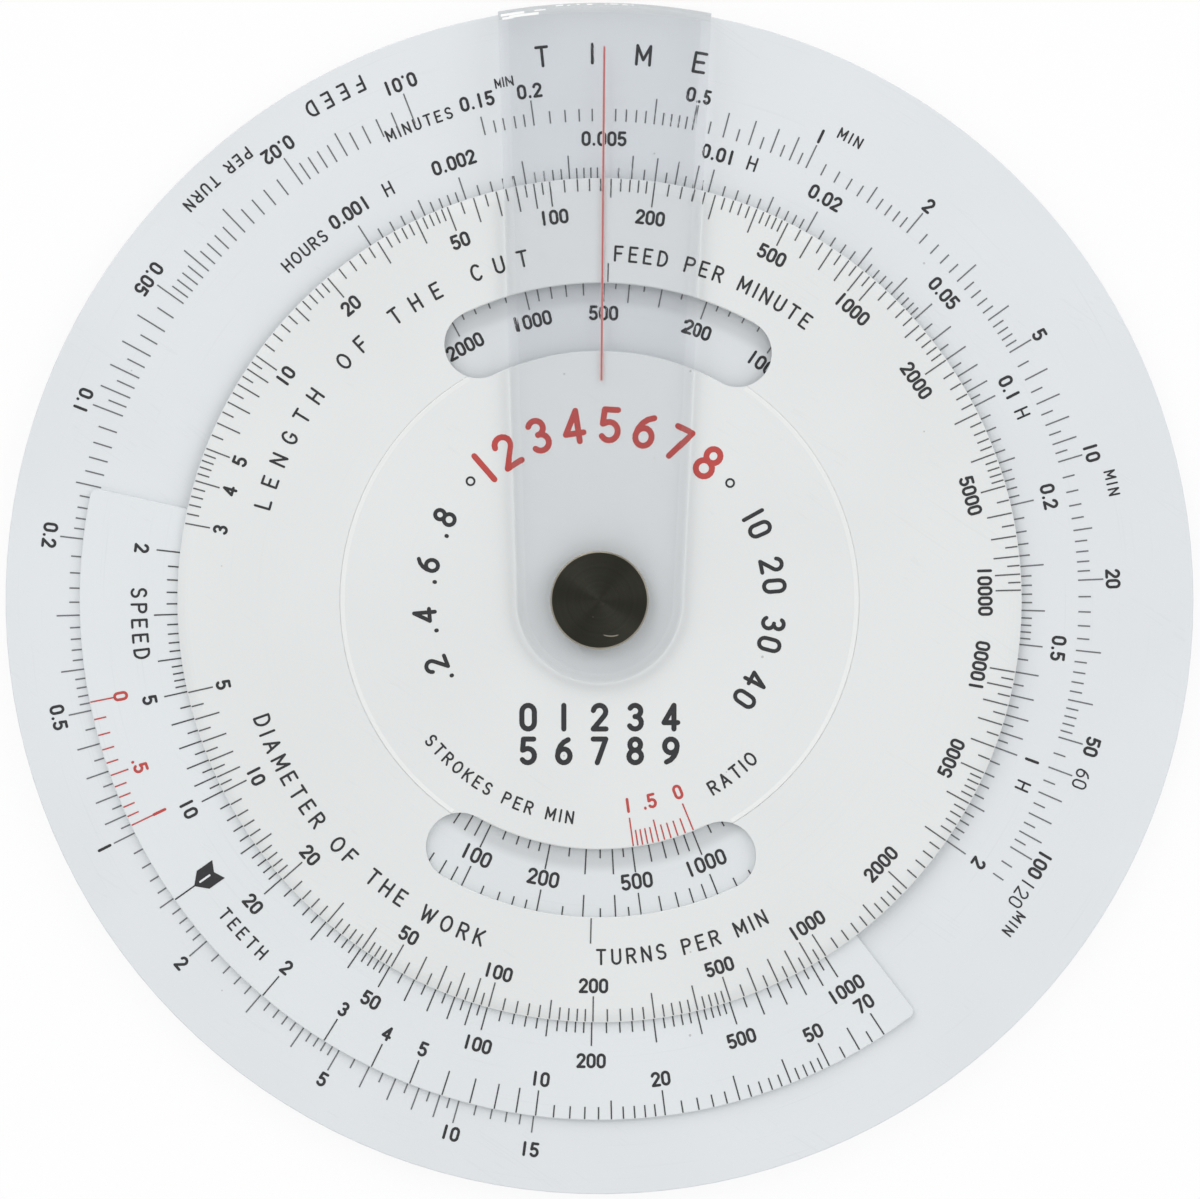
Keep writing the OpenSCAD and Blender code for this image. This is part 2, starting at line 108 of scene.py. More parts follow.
# Pen strokes of the signs, one unit tall between the middles of the strokes
GLYPHS = {
    "0": Glyph(0.53, [arc(0.265, 0.72, 0.265, 0.28, 0, 180) + arc(0.265, 0.28, 0.265, 0.28, 180, 360)
                      + line((0.53, 0.72))]),
    "1": Glyph(0, [line((0, 0), (0, 1))]),
    "2": Glyph(0.53, [arc(0.265, 0.735, 0.265, 0.265, 170, -40) + line((0, 0), (0.54, 0))]),
    "3": Glyph(0.53, [arc(0.26, 0.76, 0.24, 0.24, 150, -90), arc(0.26, 0.265, 0.265, 0.265, 90, -150)]),
    "4": Glyph(0.58, [line((0.42, 0), (0.42, 1), (0, 0.27), (0.58, 0.27))]),
    "5": Glyph(0.53, [line((0.5, 1), (0.07, 1), (0.03, 0.53)) + arc(0.25, 0.3, 0.28, 0.3, 125, -145)]),
    "6": Glyph(0.53, SIX),
    "7": Glyph(0.53, [line((0, 1), (0.53, 1), (0.17, 0))]),
    "8": Glyph(0.53, [arc(0.265, 0.765, 0.225, 0.235), arc(0.265, 0.265, 0.265, 0.265)]),
    "9": Glyph(0.53, [half_turned(stroke, 0.53) for stroke in SIX]),
    ".": Glyph(0, [line((0, 0.02), (0, 0.05))]),
    "o": Glyph(0.5, [arc(0.25, 0.5, 0.25, 0.25)]),
    "A": Glyph(0.62, [line((0, 0), (0.31, 1), (0.62, 0)), line((0.11, 0.34), (0.51, 0.34))]),
    "C": Glyph(0.58, [arc(0.32, 0.5, 0.32, 0.5, 45, 315)]),
    "D": Glyph(0.57, [line((0, 0), (0, 1), (0.2, 1)) + arc(0.2, 0.5, 0.37, 0.5, 90, -90) + line((0, 0))]),
    "E": Glyph(0.5, [line((0.5, 1), (0, 1), (0, 0), (0.5, 0)), line((0, 0.52), (0.42, 0.52))]),
    "F": Glyph(0.5, [line((0.5, 1), (0, 1), (0, 0)), line((0, 0.52), (0.42, 0.52))]),
    "G": Glyph(0.62, [arc(0.32, 0.5, 0.32, 0.5, 45, 330) + line((0.6, 0.46), (0.38, 0.46))]),
    "H": Glyph(0.57, [line((0, 0), (0, 1)), line((0.57, 0), (0.57, 1)), line((0, 0.52), (0.57, 0.52))]),
    "I": Glyph(0, [line((0, 0), (0, 1))]),
    "K": Glyph(0.54, [line((0, 0), (0, 1)), line((0.52, 1), (0, 0.4)), line((0.18, 0.6), (0.54, 0))]),
    "L": Glyph(0.47, [line((0, 1), (0, 0), (0.47, 0))]),
    "M": Glyph(0.7, [line((0, 0), (0, 1), (0.35, 0.25), (0.7, 1), (0.7, 0))]),
    "N": Glyph(0.57, [line((0, 0), (0, 1), (0.57, 0), (0.57, 1))]),
    "O": Glyph(0.66, [arc(0.33, 0.5, 0.33, 0.5)]),
    "P": Glyph(0.545, [BOWL]),
    "R": Glyph(0.56, [BOWL, line((0.27, 0.51), (0.56, 0))]),
    "S": Glyph(0.54, [arc(0.27, 0.75, 0.25, 0.25, 30, 270) + arc(0.27, 0.25, 0.27, 0.25, 90, -150)]),
    "T": Glyph(0.58, [line((0, 1), (0.58, 1)), line((0.29, 1), (0.29, 0))]),
    "U": Glyph(0.56, [line((0, 1), (0, 0.28)) + arc(0.28, 0.28, 0.28, 0.28, 180, 360) + line((0.56, 1))]),
    "W": Glyph(0.86, [line((0, 1), (0.21, 0), (0.43, 0.85), (0.65, 0), (0.86, 1))]),
    " ": Glyph(0.3, []),
}

# A row of numbers: its piece, the angle at which value and shift make one, the sense of turning, the shift,
# the radius in mm, whether the tops point outwards, the numbers, the lighter ones, the ink and a size factor
NumberRow = namedtuple("NumberRow", "piece one way shift radius outward numbers light ink size",
                       defaults=("", "black_ink", 1))

BASE_ROWS = (
    NumberRow("feed_numbers", 206.6, 1, 0, 55.9, False, "0.01 0.02 0.05 0.1 0.2 0.5 1 2 5 10 15"),
    NumberRow("minute_numbers", 64.48, -1, 0, 51.9, True, "0.15 0.2 0.5 1 2 5 10 20 50 100", "60 120"),
    NumberRow("hour_numbers", -20.37, -1, 0, 46.6, True,
              "0.001 0.002 0.005 0.01 0.02 0.05 0.1 0.2 0.5 1 2"),
    NumberRow("feed_rate_numbers", -39.6, 1, 0, 29.0, True, "10 20 50 100 200 500 1000 2000 5000"),
)
SECTOR_ROWS = (
    NumberRow("speed_numbers", 159.15, 1, 0, 46.5, False, "2 5 10 20 50 100 200 500 1000"),
    NumberRow("teeth_numbers", 215.2, 1, 0, 48.7, False, "2 3 4 5 10 20 50 70"),
    NumberRow("spindle_numbers", 148.75, 1, 0, 28.6, False, "10 20 50 100 200 500 1000", size=1.08),
    NumberRow("sector_ratio_numbers", 191.33, 1, 1, 49.3, False, "0 .5 1", ink="red_ink"),
)
TOP_ROWS = (
    NumberRow("length_numbers", 192.25, -1, 0, 38.9, True,
              "3 4 5 10 20 50 100 200 500 1000 2000 5000 10000"),
    NumberRow("diameter_numbers", 159.3, 1, 0, 38.9, False, "5 10 20 50 100 200 500 1000 2000 5000 10000"),
    NumberRow("disc_ratio_numbers", 292.2, -1, 1, 20.9, False, "0 .5 1", ink="red_ink"),
)

# A caption along an arc: words, radius in mm, first and last angle, tops outwards, height and stroke in mm
Caption = namedtuple("Caption", "words radius first last outward height stroke")

BASE_CAPTIONS = (
    Caption("TIME", 55.2, 96.6, 79.0, True, 2.2, 0.3),
    Caption("FEED", 57.5, 114.6, 120.8, False, 1.7, 0.24),
    Caption("PER TURN", 57.5, 128.0, 136.4, False, 1.3, 0.2),
    Caption("MINUTES", 51.5, 114.6, 106.9, True, 1.25, 0.19),
    Caption("HOURS", 46.2, 133.4, 126.9, True, 1.35, 0.2),
    Caption("MIN", 53.2, 101.4, 99.5, True, 1.05, 0.16),
    *(Caption("MIN", 53.1, first, first - 2.6, True, 1.2, 0.18) for first in (62.8, 14.2, -36.7)),
    *(Caption("H", 46.7, first, first - 0.6, True, 1.5, 0.2) for first in (117.5, 71.0, 24.2, -23.4)),
)
SECTOR_CAPTIONS = (
    Caption("SPEED", 46.5, 178.6, 187.2, False, 1.7, 0.24),
    Caption("TEETH", 49.3, 219.6, 226.6, False, 1.4, 0.2),
)
TOP_CAPTIONS = (
    Caption("LENGTH OF THE CUT", 35.3, 164.6, 102.0, True, 1.75, 0.24),
    Caption("FEED PER MINUTE", 35.0, 87.4, 53.0, True, 1.65, 0.23),
    Caption("DIAMETER OF THE WORK", 36.1, 199.0, 251.0, False, 1.75, 0.24),
    Caption("TURNS PER MIN", 36.0, 269.6, 297.6, False, 1.65, 0.23),
    Caption("STROKES PER MIN", 22.1, 219.0, 263.0, False, 1.35, 0.2),
    Caption("RATIO", 22.1, 300.4, 314.6, False, 1.5, 0.22),
)

# Plain numbers that fill the ring round the rivet, in black and in red
CENTRE_BLACK = (
    Caption(".2 .4 .6 .8", 17.7, 207.0, 150.0, True, 2.5, 0.4),
    Caption("10 20 30 40", 17.7, 29.0, -36.0, True, 2.5, 0.4),
    Caption("o", 17.7, 138.0, 136.6, True, 1.8, 0.2),
    Caption("o", 17.7, 42.6, 41.2, True, 1.8, 0.2),
)
CENTRE_RED = (
    Caption("1 2 3 4 5 6 7 8", 17.7, 131.0, 49.0, True, 3.7, 0.6),
)

# Number on the pointer's tag, in white
POINTER_NUMBER = (
    Caption("1", 48.75, 215.0, 215.4, False, 1.35, 0.2),
)

# Seam between the inlay and the top disc: its inner radius, the width and depth of its filling in mm, how
# far that stands up at the inlay's edge and leads on to the inlay, and the angles between which it runs
SEAM_RADIUS = 26.1
SEAM_FILL = 0.09
SEAM_DEPTH = 0.2
SEAM_RISE = 0.045
SEAM_LEAD = 0.4
SEAM_SPANS = ((120.5, 235.3), (300.8, 415.6))

# Colours of the sheet's specks, and of ink where its film is thin
SPECK_GREY = (0.33, 0.32, 0.3, 1)
THIN_BLACK = (0.09, 0.09, 0.092)
THIN_RED = (0.62, 0.16, 0.13)
THIN_HAIRLINE = (0.7, 0.3, 0.28)
THIN_MARGIN = (0.75, 0.6, 0.59)

# Refractive indices of the sheet, the ink and the cursor
SHEET_IOR = 1.46
INK_IOR = 1.45
CLEAR_IOR = 1.49

# Wear of a plate: scales of clouds, speck cells and grain, a speck's least size, range and soft edge in its
# cell, and the scales of scuffs across and along the turning
CLOUD_SCALE = 0.045
SPECK_SCALE = 0.55
GRAIN_SCALE = 5.5
SPECK_LEAST = 0.02
SPECK_RANGE = 0.05
SPECK_EDGE = 0.025
SCUFF_ACROSS = 2.4
SCUFF_ALONG = 0.045

# Hair scratches of a finish: their angle in radians, length in mm and share of the face
Hairs = namedtuple("Hairs", "angle length share")

PLATE_HAIRS = Hairs(0.6, 24.0, 0.42)
CURSOR_HAIRS = Hairs(1.35, 30.0, 0.45)
RIVET_HAIRS = Hairs(0.9, 6.0, 0.5)

# Painted shade on a plate under the windows, where the window edges cast their shadow: its share all over
# and in a band, and the band's middle radius and half width in mm. It fades out between two radii, and the
# core of the band is even.
WindowShade = namedtuple("WindowShade", "ring band middle half")

NO_WINDOW_SHADE = WindowShade(0.0, 0.0, 0.0, 1.0)
BASE_WINDOW_SHADE = WindowShade(0.1, 0.24, 30.75, 1.3)
SECTOR_WINDOW_SHADE = WindowShade(0.07, 0.38, 26.15, 1.6)
WINDOW_SHADE_FADE = (34.0, 35.0)
WINDOW_SHADE_CORE = 0.2
WINDOW_SHADE_FACTOR = 0.5

# Rolled rim of the top disc: the roll's width in mm, its slope at the edge, and the rise in half widths of a
# soft step whose middle has a slope of one
ROLL_WIDTH = 1.2
ROLL_SLOPE = 0.2
STEP_RISE = 1.33

# Scratch on the rivet's face: its middle and bow in mm, and where its width and half length fade out
NICK_X = 1.15
NICK_Y = -3.62
NICK_BOW = 0.22
NICK_WIDTH = (0.02, 0.09)
NICK_HALF = (0.55, 0.85)

# Bright chamfer of the rivet, which keeps the plating's colour where the face is painted dark: from where to
# where it fades in, inwards of the edge in mm
CHAMFER = (0.19, 0.13)

# The cursor's bend: its outer radius, how far its clouded skin and its painted glint marks stand out, in mm,
# and the turns up the bend at which the skin has its points
BEND = 0.9
SKIN_LIFT = 0.004
SKIN_OUT = 0.014
MARK_OUT = 0.026
SKIN_TURNS = range(0, 91, 10)

# The cursor's fold: its width at the rim in mm, and the light that passes a side wall and the fold
FOLD_WIDTH = 0.6
WALL_LIGHT = (0.36, 0.365, 0.37, 1)
FOLD_LIGHT = (0.9, 0.9, 0.9, 1)

# Painted glints on the bend, white marks where its crinkles catch the lamps: first and last angle, and their
# two edges in degrees up the bend
GLINT_MARKS = (
    (97.3, 99.6, 56, 72), (95.9, 98.8, 74, 90), (95.2, 96.3, 58, 66), (98.4, 99.5, 80, 94),
    (93.5, 94.2, 30, 42), (92.8, 93.1, 36, 44), (91.9, 92.2, 30, 40), (90.7, 91.2, 32, 44),
    (89.3, 89.5, 32, 40), (88.2, 89.0, 30, 38), (87.3, 87.8, 34, 42), (86.7, 86.9, 34, 40),
)

# Lean of the hairline from +Y to +X, how far its faces are drawn in to clear the cursor's own, the width of
# its pale margin, in mm, and the shares of its thickness left below and above that
CURSOR_LEAN = math.radians(0.5)
HAIRLINE_SHRINK = 0.004
MARGIN_WIDTH = 0.27
MARGIN_BELOW = 0.2
MARGIN_ABOVE = 0.3

# Straight rows of digits below the rivet: their place on Y, their half width, height and stroke, in mm
CENTRE_LINES = (("01234", -11.8), ("56789", -15.2))
CENTRE_HALF = 7.2
CENTRE_HEIGHT = 2.9
CENTRE_STROKE = 0.52

# Soft lamps: their value on the stage, azimuth and elevation in degrees, and size in metres
LAMPS = (
    ("left_lamp", 128, 34, 1.0),
    ("right_lamp", 24, 36, 1.0),
    ("back_lamp", 97, 22, 1.0),
    ("front_lamp", 268, 36, 1.0),
    ("high_lamp", 134, 58, 0.3),
)
LAMP_DISTANCE = 1.6

# Camera: the width of its sensor and its place over the pivot, in mm
SENSOR_WIDTH = 36
CAMERA_X = 0.05
CAMERA_Y = 0.07

# Light tent: between which sines of the elevation its foot ends, and its opening begins
TENT_FOOT = (0.0, 0.4)
TENT_OPENING = (0.965, 0.992)

# Floor: half width in metres, cells, drop below the rule in mm, paper, and share of plain white
FLOOR_HALF = 3.0
FLOOR_CELLS = 8
FLOOR_DROP = 0.02
FLOOR_PAPER = (0.88, 0.88, 0.88, 1)
FLOOR_WHITE = 0.9


def colour_value(name, thing, default):
    """The colour of a thing, which a user may change."""
    return FloatVectorProperty(
        name=name, description="Colour of " + thing, default=default, subtype="COLOR", min=0, max=1)


def length_value(name, description, millimetres):
    """A length that a user may change."""
    return FloatProperty(
        name=name, description=description, default=millimetres * MM, unit="LENGTH", precision=6)


def power_value(name, lamp, watts):
    """The power of a lamp, which a user may change."""
    return FloatProperty(
        name=name, description="Power of %s, in watts" % lamp, default=watts, min=0, unit="POWER")


class RulePrint(bpy.types.PropertyGroup):
    """Sizes of the printing."""

    number_height: length_value("Number height", "Height of the numbers on the scales", 1.52)
    number_stroke: length_value("Number stroke", "Pen width of the numbers on the scales", 0.28)
    light_stroke: length_value("Light stroke", "Pen width of the lighter numbers between the others", 0.17)
    film: length_value("Ink film", "Thickness of the printed film", 0.02)


class RuleFinish(bpy.types.PropertyGroup):
    """Colours of the finishes."""

    base_white: colour_value("Base disc", "the base disc's plastic", (0.718, 0.745, 0.763))
    sector_white: colour_value("Sector plate", "the sector plate's plastic", (0.722, 0.751, 0.765))
    top_white: colour_value("Top disc", "the top disc's plastic", (0.735, 0.752, 0.748))
    # Painted highlight: the seam filling is lighter than the top disc, so that the lit slope of the seam
    # shows as a light line.
    seam_white: colour_value(
        "Seam filling", "the filling in the seam round the inlay", (0.785, 0.797, 0.787))
    washer_white: colour_value("Washers", "the spacer washers", (0.62, 0.62, 0.58))
    black_ink: colour_value("Black ink", "the black printing", (0.024, 0.025, 0.027))
    base_lines: colour_value("Base disc lines", "the thin lines on the base disc", (0.14, 0.145, 0.15))
    sector_lines: colour_value(
        "Sector plate lines", "the thin lines on the sector plate", (0.055, 0.057, 0.06))
    top_lines: colour_value("Top disc lines", "the thin lines on the top disc", (0.09, 0.093, 0.096))
    red_ink: colour_value("Red ink", "the red printing", (0.48, 0.062, 0.055))
    hairline_red: colour_value(
        "Hairline", "the hairline, which its thin ink leaves paler", (0.56, 0.13, 0.12))
    cursor_clear: colour_value("Cursor", "the cursor's clear plastic", (0.966, 0.971, 0.980))
    margin_pink: colour_value(
        "Hairline margin", "the margin that the hairline's ink has bled into", (0.70, 0.50, 0.49))
    bend_cloud: colour_value("Bend", "the clouded plastic at the cursor's bend", (0.55, 0.572, 0.585))
    # Painted highlight: white marks on the bend stand in for the glints where its crinkles catch the lamps.
    stress_white: colour_value("Stress marks", "the painted glint marks on the bend", (0.93, 0.93, 0.92))
    # Painted reflection: the face colour is far darker than the plating, for the dark that the face
    # reflects; the edge keeps the plating's colour.
    rivet_face: colour_value("Rivet face", "the rivet's turned face", (0.047, 0.046, 0.037))
    rivet_edge: colour_value("Rivet edge", "the rivet's bright chamfer", (0.40, 0.37, 0.30))


class RuleStage(bpy.types.PropertyGroup):
    """Camera and light."""

    frame_width: length_value("Frame width", "Width that the camera takes in at the base disc", 121.2)
    lens: FloatProperty(name="Lens", description="Focal length of the camera", default=300, unit="CAMERA")
    left_lamp: power_value("Left lamp", "the lamp at the left", 4.25)
    right_lamp: power_value("Right lamp", "the lamp at the right", 4.5)
    back_lamp: power_value("Back lamp", "the lamp behind the rule", 2.4)
    front_lamp: power_value("Front lamp", "the lamp before the rule", 1.7)
    high_lamp: power_value("High lamp", "the small lamp high at the left", 1.3)
    tent_foot: colour_value("Tent foot", "the light tent at the horizon", (0.5, 0.5, 0.5))
    tent_side: colour_value("Tent side", "the light tent above the horizon", (0.80, 0.804, 0.808))
    tent_top: colour_value("Tent top", "the light tent's opening overhead", (0.2, 0.2, 0.2))


class Graph:
    """A node tree with short calls that add nodes and join them."""

    def __init__(self, tree):
        self.tree = tree

    def put(self, socket, value):
        """Join an output to the socket, or set the socket's own value."""
        if isinstance(value, bpy.types.NodeSocket):
            self.tree.links.new(value, socket)
        else:
            socket.default_value = value

    def node(self, kind, values=None, **settings):
        """A new shader node. Its inputs are filled by name or by place."""
        made = self.tree.nodes.new("ShaderNode" + kind)
        for name, setting in settings.items():
            setattr(made, name, setting)
        for key, value in (values or {}).items():
            self.put(made.inputs[key], value)
        return made

    def math(self, operation, *values):
        """The result of a sum on one to three values."""
        return self.node("Math", dict(enumerate(values)), operation=operation).outputs[0]

    def scaled(self, vector, factors):
        """A vector with its parts multiplied by three factors."""
        return self.node("VectorMath", {0: vector, 1: factors}, operation="MULTIPLY").outputs[0]

    def blend(self, share, low, high):
        """A colour between two colours."""
        return self.node("Mix", {0: share, 6: low, 7: high}, data_type="RGBA").outputs[2]

    def step(self, value, start, end, low=0.0, high=1.0):
        """A soft step of the value from low at start to high at end."""
        places = {0: value, 1: start, 2: end, 3: low, 4: high}
        return self.node("MapRange", places, interpolation_type="SMOOTHSTEP").outputs[0]

    def noise(self, vector, scale, detail=2.0):
        """Cloudy noise between 0 and 1."""
        return self.node("TexNoise", {"Vector": vector, "Scale": scale, "Detail": detail}).outputs[0]

    def bump(self, height, strength, depth):
        """A fine relief, its depth in mm."""
        return self.node("Bump", {"Strength": strength, "Distance": depth * MM, "Height": height})

    def surface(self, colour, rough, ior, bump, **more):
        """A Principled surface of plastic or ink."""
        values = {"Base Color": colour, "Roughness": rough, "IOR": ior, "Normal": bump.outputs[0], **more}
        return self.node("BsdfPrincipled", values).outputs[0]

    def use(self, build, values=None):
        """The outputs of a shared group, which is built at its first use."""
        name = build.__name__.replace("_", " ").capitalize()
        group = bpy.data.node_groups.get(name) or build(name)
        return self.node("Group", values, node_tree=group).outputs


def shared_group(name, inputs, outputs):
    """A new shader group, its graph, and its named sockets. Position is a vector, the others are values."""
    tree = bpy.data.node_groups.new(name, "ShaderNodeTree")
    for way, sockets in (("INPUT", inputs), ("OUTPUT", outputs)):
        for socket in sockets:
            kind = "NodeSocketVector" if socket == "Position" else "NodeSocketFloat"
            tree.interface.new_socket(socket, in_out=way, socket_type=kind)
    given, out = tree.nodes.new("NodeGroupInput"), tree.nodes.new("NodeGroupOutput")
    return tree, Graph(tree), given.outputs, out.inputs


def rule_position(name):
    """Place on the rule in millimetres, and the distance from the pivot."""
    tree, graph, _, out = shared_group(name, (), ("Position", "Radius"))
    place = graph.node("TexCoord").outputs["Object"]
    millimetres = graph.scaled(place, (1 / MM,) * 3)
    flat = graph.scaled(millimetres, (1, 1, 0))
    radius = graph.node("VectorMath", {0: flat}, operation="LENGTH").outputs["Value"]
    graph.put(out["Position"], millimetres)
    graph.put(out["Radius"], radius)
    return tree


def plate_wear(name):
    """Clouding, dust specks, scuffs from turning, and the fine grain of a plastic plate."""
    tree, graph, given, out = shared_group(
        name, ("Position", "Radius", "Speck Share"), ("Cloud", "Specks", "Scuffs", "Grain"))
    position = given["Position"]
    graph.put(out["Cloud"], graph.noise(position, CLOUD_SCALE, 3.0))

    flat = graph.scaled(position, (1, 1, 0))
    cells = graph.node("TexVoronoi", {"Vector": flat, "Scale": SPECK_SCALE})
    chance = graph.node("SeparateColor", {0: cells.outputs["Color"]})
    chosen = graph.math("LESS_THAN", chance.outputs[0], given["Speck Share"])
    size = graph.math("MULTIPLY_ADD", chance.outputs[1], SPECK_RANGE, SPECK_LEAST)
    edge = graph.math("ADD", size, SPECK_EDGE)
    dots = graph.step(cells.outputs["Distance"], size, edge, 1.0, 0.0)
    graph.put(out["Specks"], graph.math("MULTIPLY", dots, chosen))

    parts = graph.node("SeparateXYZ", {0: position}).outputs
    along = graph.node("CombineXYZ", {
        0: graph.math("MULTIPLY", given["Radius"], SCUFF_ACROSS),
        1: graph.math("MULTIPLY", parts[0], SCUFF_ALONG),
        2: graph.math("MULTIPLY", parts[1], SCUFF_ALONG),
    }).outputs[0]
    graph.put(out["Scuffs"], graph.step(graph.noise(along, 1.6, 3.0), 0.6, 0.78))
    graph.put(out["Grain"], graph.noise(position, GRAIN_SCALE))
    return tree


def hair_scratches(name):
    """Fine straight scratches in one direction, and short of covering the surface."""
    tree, graph, given, out = shared_group(
        name, ("Position", "Angle", "Length", "Share"), ("Scratches",))
    turned = graph.node("VectorRotate", {
        "Vector": given["Position"], "Angle": given["Angle"]}, rotation_type="Z_AXIS").outputs[0]
    stretch = graph.node("CombineXYZ", {
        0: graph.math("DIVIDE", 1.0, given["Length"]), 1: 1.4, 2: 0.0}).outputs[0]
    cloud = graph.noise(graph.scaled(turned, stretch), 1.0, 1.0)
    ridge = graph.math("ABSOLUTE", graph.math("SUBTRACT", cloud, 0.5))
    hairs = graph.step(ridge, 0.002, 0.012, 1.0, 0.0)
    patches = graph.noise(given["Position"], 0.13)
    kept = graph.math("LESS_THAN", patches, given["Share"])
    graph.put(out["Scratches"], graph.math("MULTIPLY", hairs, kept))
    return tree


def print_mottle(name):
    """Uneven cover of a printed ink film, and the softness of its gloss."""
    tree, graph, given, out = shared_group(name, ("Position",), ("Thin", "Film"))
    spread = graph.noise(given["Position"], 1.1, 3.0)
    grain = graph.noise(given["Position"], 7.0)
    thin = graph.math("MULTIPLY", graph.step(spread, 0.5, 0.75), graph.step(grain, 0.45, 0.65))
    graph.put(out["Thin"], thin)
    graph.put(out["Film"], grain)
    return tree


def new_finish(name):
    """An empty node material, its graph and the socket for its surface."""
    material = bpy.data.materials.new(name)
    material.use_nodes = True
    material.node_tree.nodes.clear()
    graph = Graph(material.node_tree)
    return material, graph, graph.node("OutputMaterial").inputs["Surface"]


def shaded(colour, factor):
    """A colour with alpha, lighter or darker by a factor."""
    return (*(min(1.0, part * factor) for part in colour), 1.0)


def scratches(graph, position, hairs):
    """Hair scratches as one finish has them."""
    places = {"Position": position, "Angle": hairs.angle, "Length": hairs.length, "Share": hairs.share}
    return graph.use(hair_scratches, places)["Scratches"]


def plate_finish(name, colour, specks=0.0, scuff=0.0, window_shade=NO_WINDOW_SHADE, roll=0.0):
    """Satin white plastic sheet, which may have painted shade under a window or a roll to its rim."""
    material, graph, out = new_finish(name)
    position, radius = graph.use(rule_position)
    wear = graph.use(plate_wear, {"Position": position, "Radius": radius, "Speck Share": specks})
    hairs = scratches(graph, position, PLATE_HAIRS)
    clouded = graph.blend(graph.step(wear["Cloud"], 0.3, 0.7), shaded(colour, 0.985), shaded(colour, 1.012))
    scuffed = graph.blend(graph.math("MULTIPLY", wear["Scuffs"], scuff), clouded, shaded(colour, 0.90))
    scratched = graph.blend(graph.math("MULTIPLY", hairs, 0.12), scuffed, shaded(colour, 0.8))
    # Painted shade: a grey ring and a darker band under the windows stand in for the shadow of the window
    # edges.
    aside = graph.math("ABSOLUTE", graph.math("SUBTRACT", radius, window_shade.middle))
    band = graph.step(aside, window_shade.half * WINDOW_SHADE_CORE, window_shade.half, window_shade.band, 0.0)
    window_shade_share = graph.step(radius, *WINDOW_SHADE_FADE, graph.math("ADD", band, window_shade.ring), 0.0)
    window_shaded = graph.blend(window_shade_share, scratched, shaded(colour, WINDOW_SHADE_FACTOR))
    specked = graph.blend(graph.math("MULTIPLY", wear["Specks"], 0.55), window_shaded, SPECK_GREY)
    rough = graph.math("MULTIPLY_ADD", wear["Scuffs"], 0.1, 0.46)
    height = graph.math("SUBTRACT", wear["Grain"], hairs)
    bump = graph.bump(height, 0.06, 0.02)
    if roll:
        edge = TOP_RADIUS / MM
        outwards = graph.step(radius, edge - ROLL_WIDTH, edge + ROLL_WIDTH)
        drop = graph.math("MULTIPLY", outwards, -roll * ROLL_WIDTH * STEP_RISE)
        graph.put(bump.inputs["Normal"], graph.bump(drop, 1.0, 1.0).outputs[0])
    graph.put(out, graph.surface(specked, rough, SHEET_IOR, bump))
    return material


def ink_finish(name, colour, thin_colour):
    """Matt printed ink that lets a little of the sheet through."""
    if name in bpy.data.materials:
        return bpy.data.materials[name]
    material, graph, out = new_finish(name)
    position, _ = graph.use(rule_position)
    mottle = graph.use(print_mottle, {"Position": position})
    thin = graph.math("MULTIPLY", mottle["Thin"], 0.3)
    cover = graph.blend(thin, shaded(colour, 1), shaded(thin_colour, 1))
    rough = graph.math("MULTIPLY_ADD", mottle["Film"], 0.2, 0.4)
    bump = graph.bump(mottle["Film"], 0.1, 0.01)
    graph.put(out, graph.surface(cover, rough, INK_IOR, bump))
    return material


def black_print(finish):
    """The black ink of the scales, numbers and captions."""
    return ink_finish("Black print", finish.black_ink, THIN_BLACK)


def line_print(name, colour):
    """The black ink of the thin lines, which take less of it and stay greyer."""
    return ink_finish(name, colour, shaded(colour, 1.8)[:3])


def red_print(finish):
    """The red ink of the ratio scales and the centre numbers."""
    return ink_finish("Red print", finish.red_ink, THIN_RED)


def let_light_through(graph, out, surface, passing):
    """Show the surface to the eye, and let the light for what lies under it pass with a colour."""
    open_air = graph.node("BsdfTransparent", {"Color": passing})
    path = graph.node("LightPath").outputs
    for ray in ("Is Diffuse Ray", "Is Shadow Ray"):
        surface = graph.node("MixShader", {0: path[ray], 1: surface, 2: open_air.outputs[0]}).outputs[0]
    graph.put(out, surface)


def cursor_finish(tint):
    """Clear polished plastic with hair scratches and a crinkled fold."""
    material, graph, out = new_finish("Cursor clear")
    position, radius = graph.use(rule_position)
    hairs = scratches(graph, position, CURSOR_HAIRS)
    fold = graph.step(radius, RIM_RADIUS / MM - FOLD_WIDTH, RIM_RADIUS / MM)
    crinkle = graph.math("MULTIPLY", graph.noise(position, 1.7, 3.0), fold)
    height = graph.math("MULTIPLY_ADD", crinkle, 8.0, graph.math("MULTIPLY", hairs, -0.4))
    bump = graph.bump(height, 0.35, 0.02)
    rough = graph.math("MULTIPLY_ADD", hairs, 0.12, 0.02)
    normal = graph.node("NewGeometry").outputs["Normal"]
    upright = graph.math("ABSOLUTE", graph.node("SeparateXYZ", {0: normal}).outputs[2])
    # Painted light: the sloped bevel faces keep none of the tint and show lighter, for the light that the
    # bevels bend onto the plates.
    colour = graph.blend(graph.step(upright, 0.985, 0.998), (1, 1, 1, 1), shaded(tint, 1))
    clear = graph.surface(colour, rough, CLEAR_IOR, bump, **{"Transmission Weight": 1.0})
    wall = graph.blend(fold, WALL_LIGHT, FOLD_LIGHT)
    passing = graph.blend(graph.step(upright, 0.3, 0.97), wall, shaded(tint, 0.985))
    let_light_through(graph, out, clear, passing)
    return material


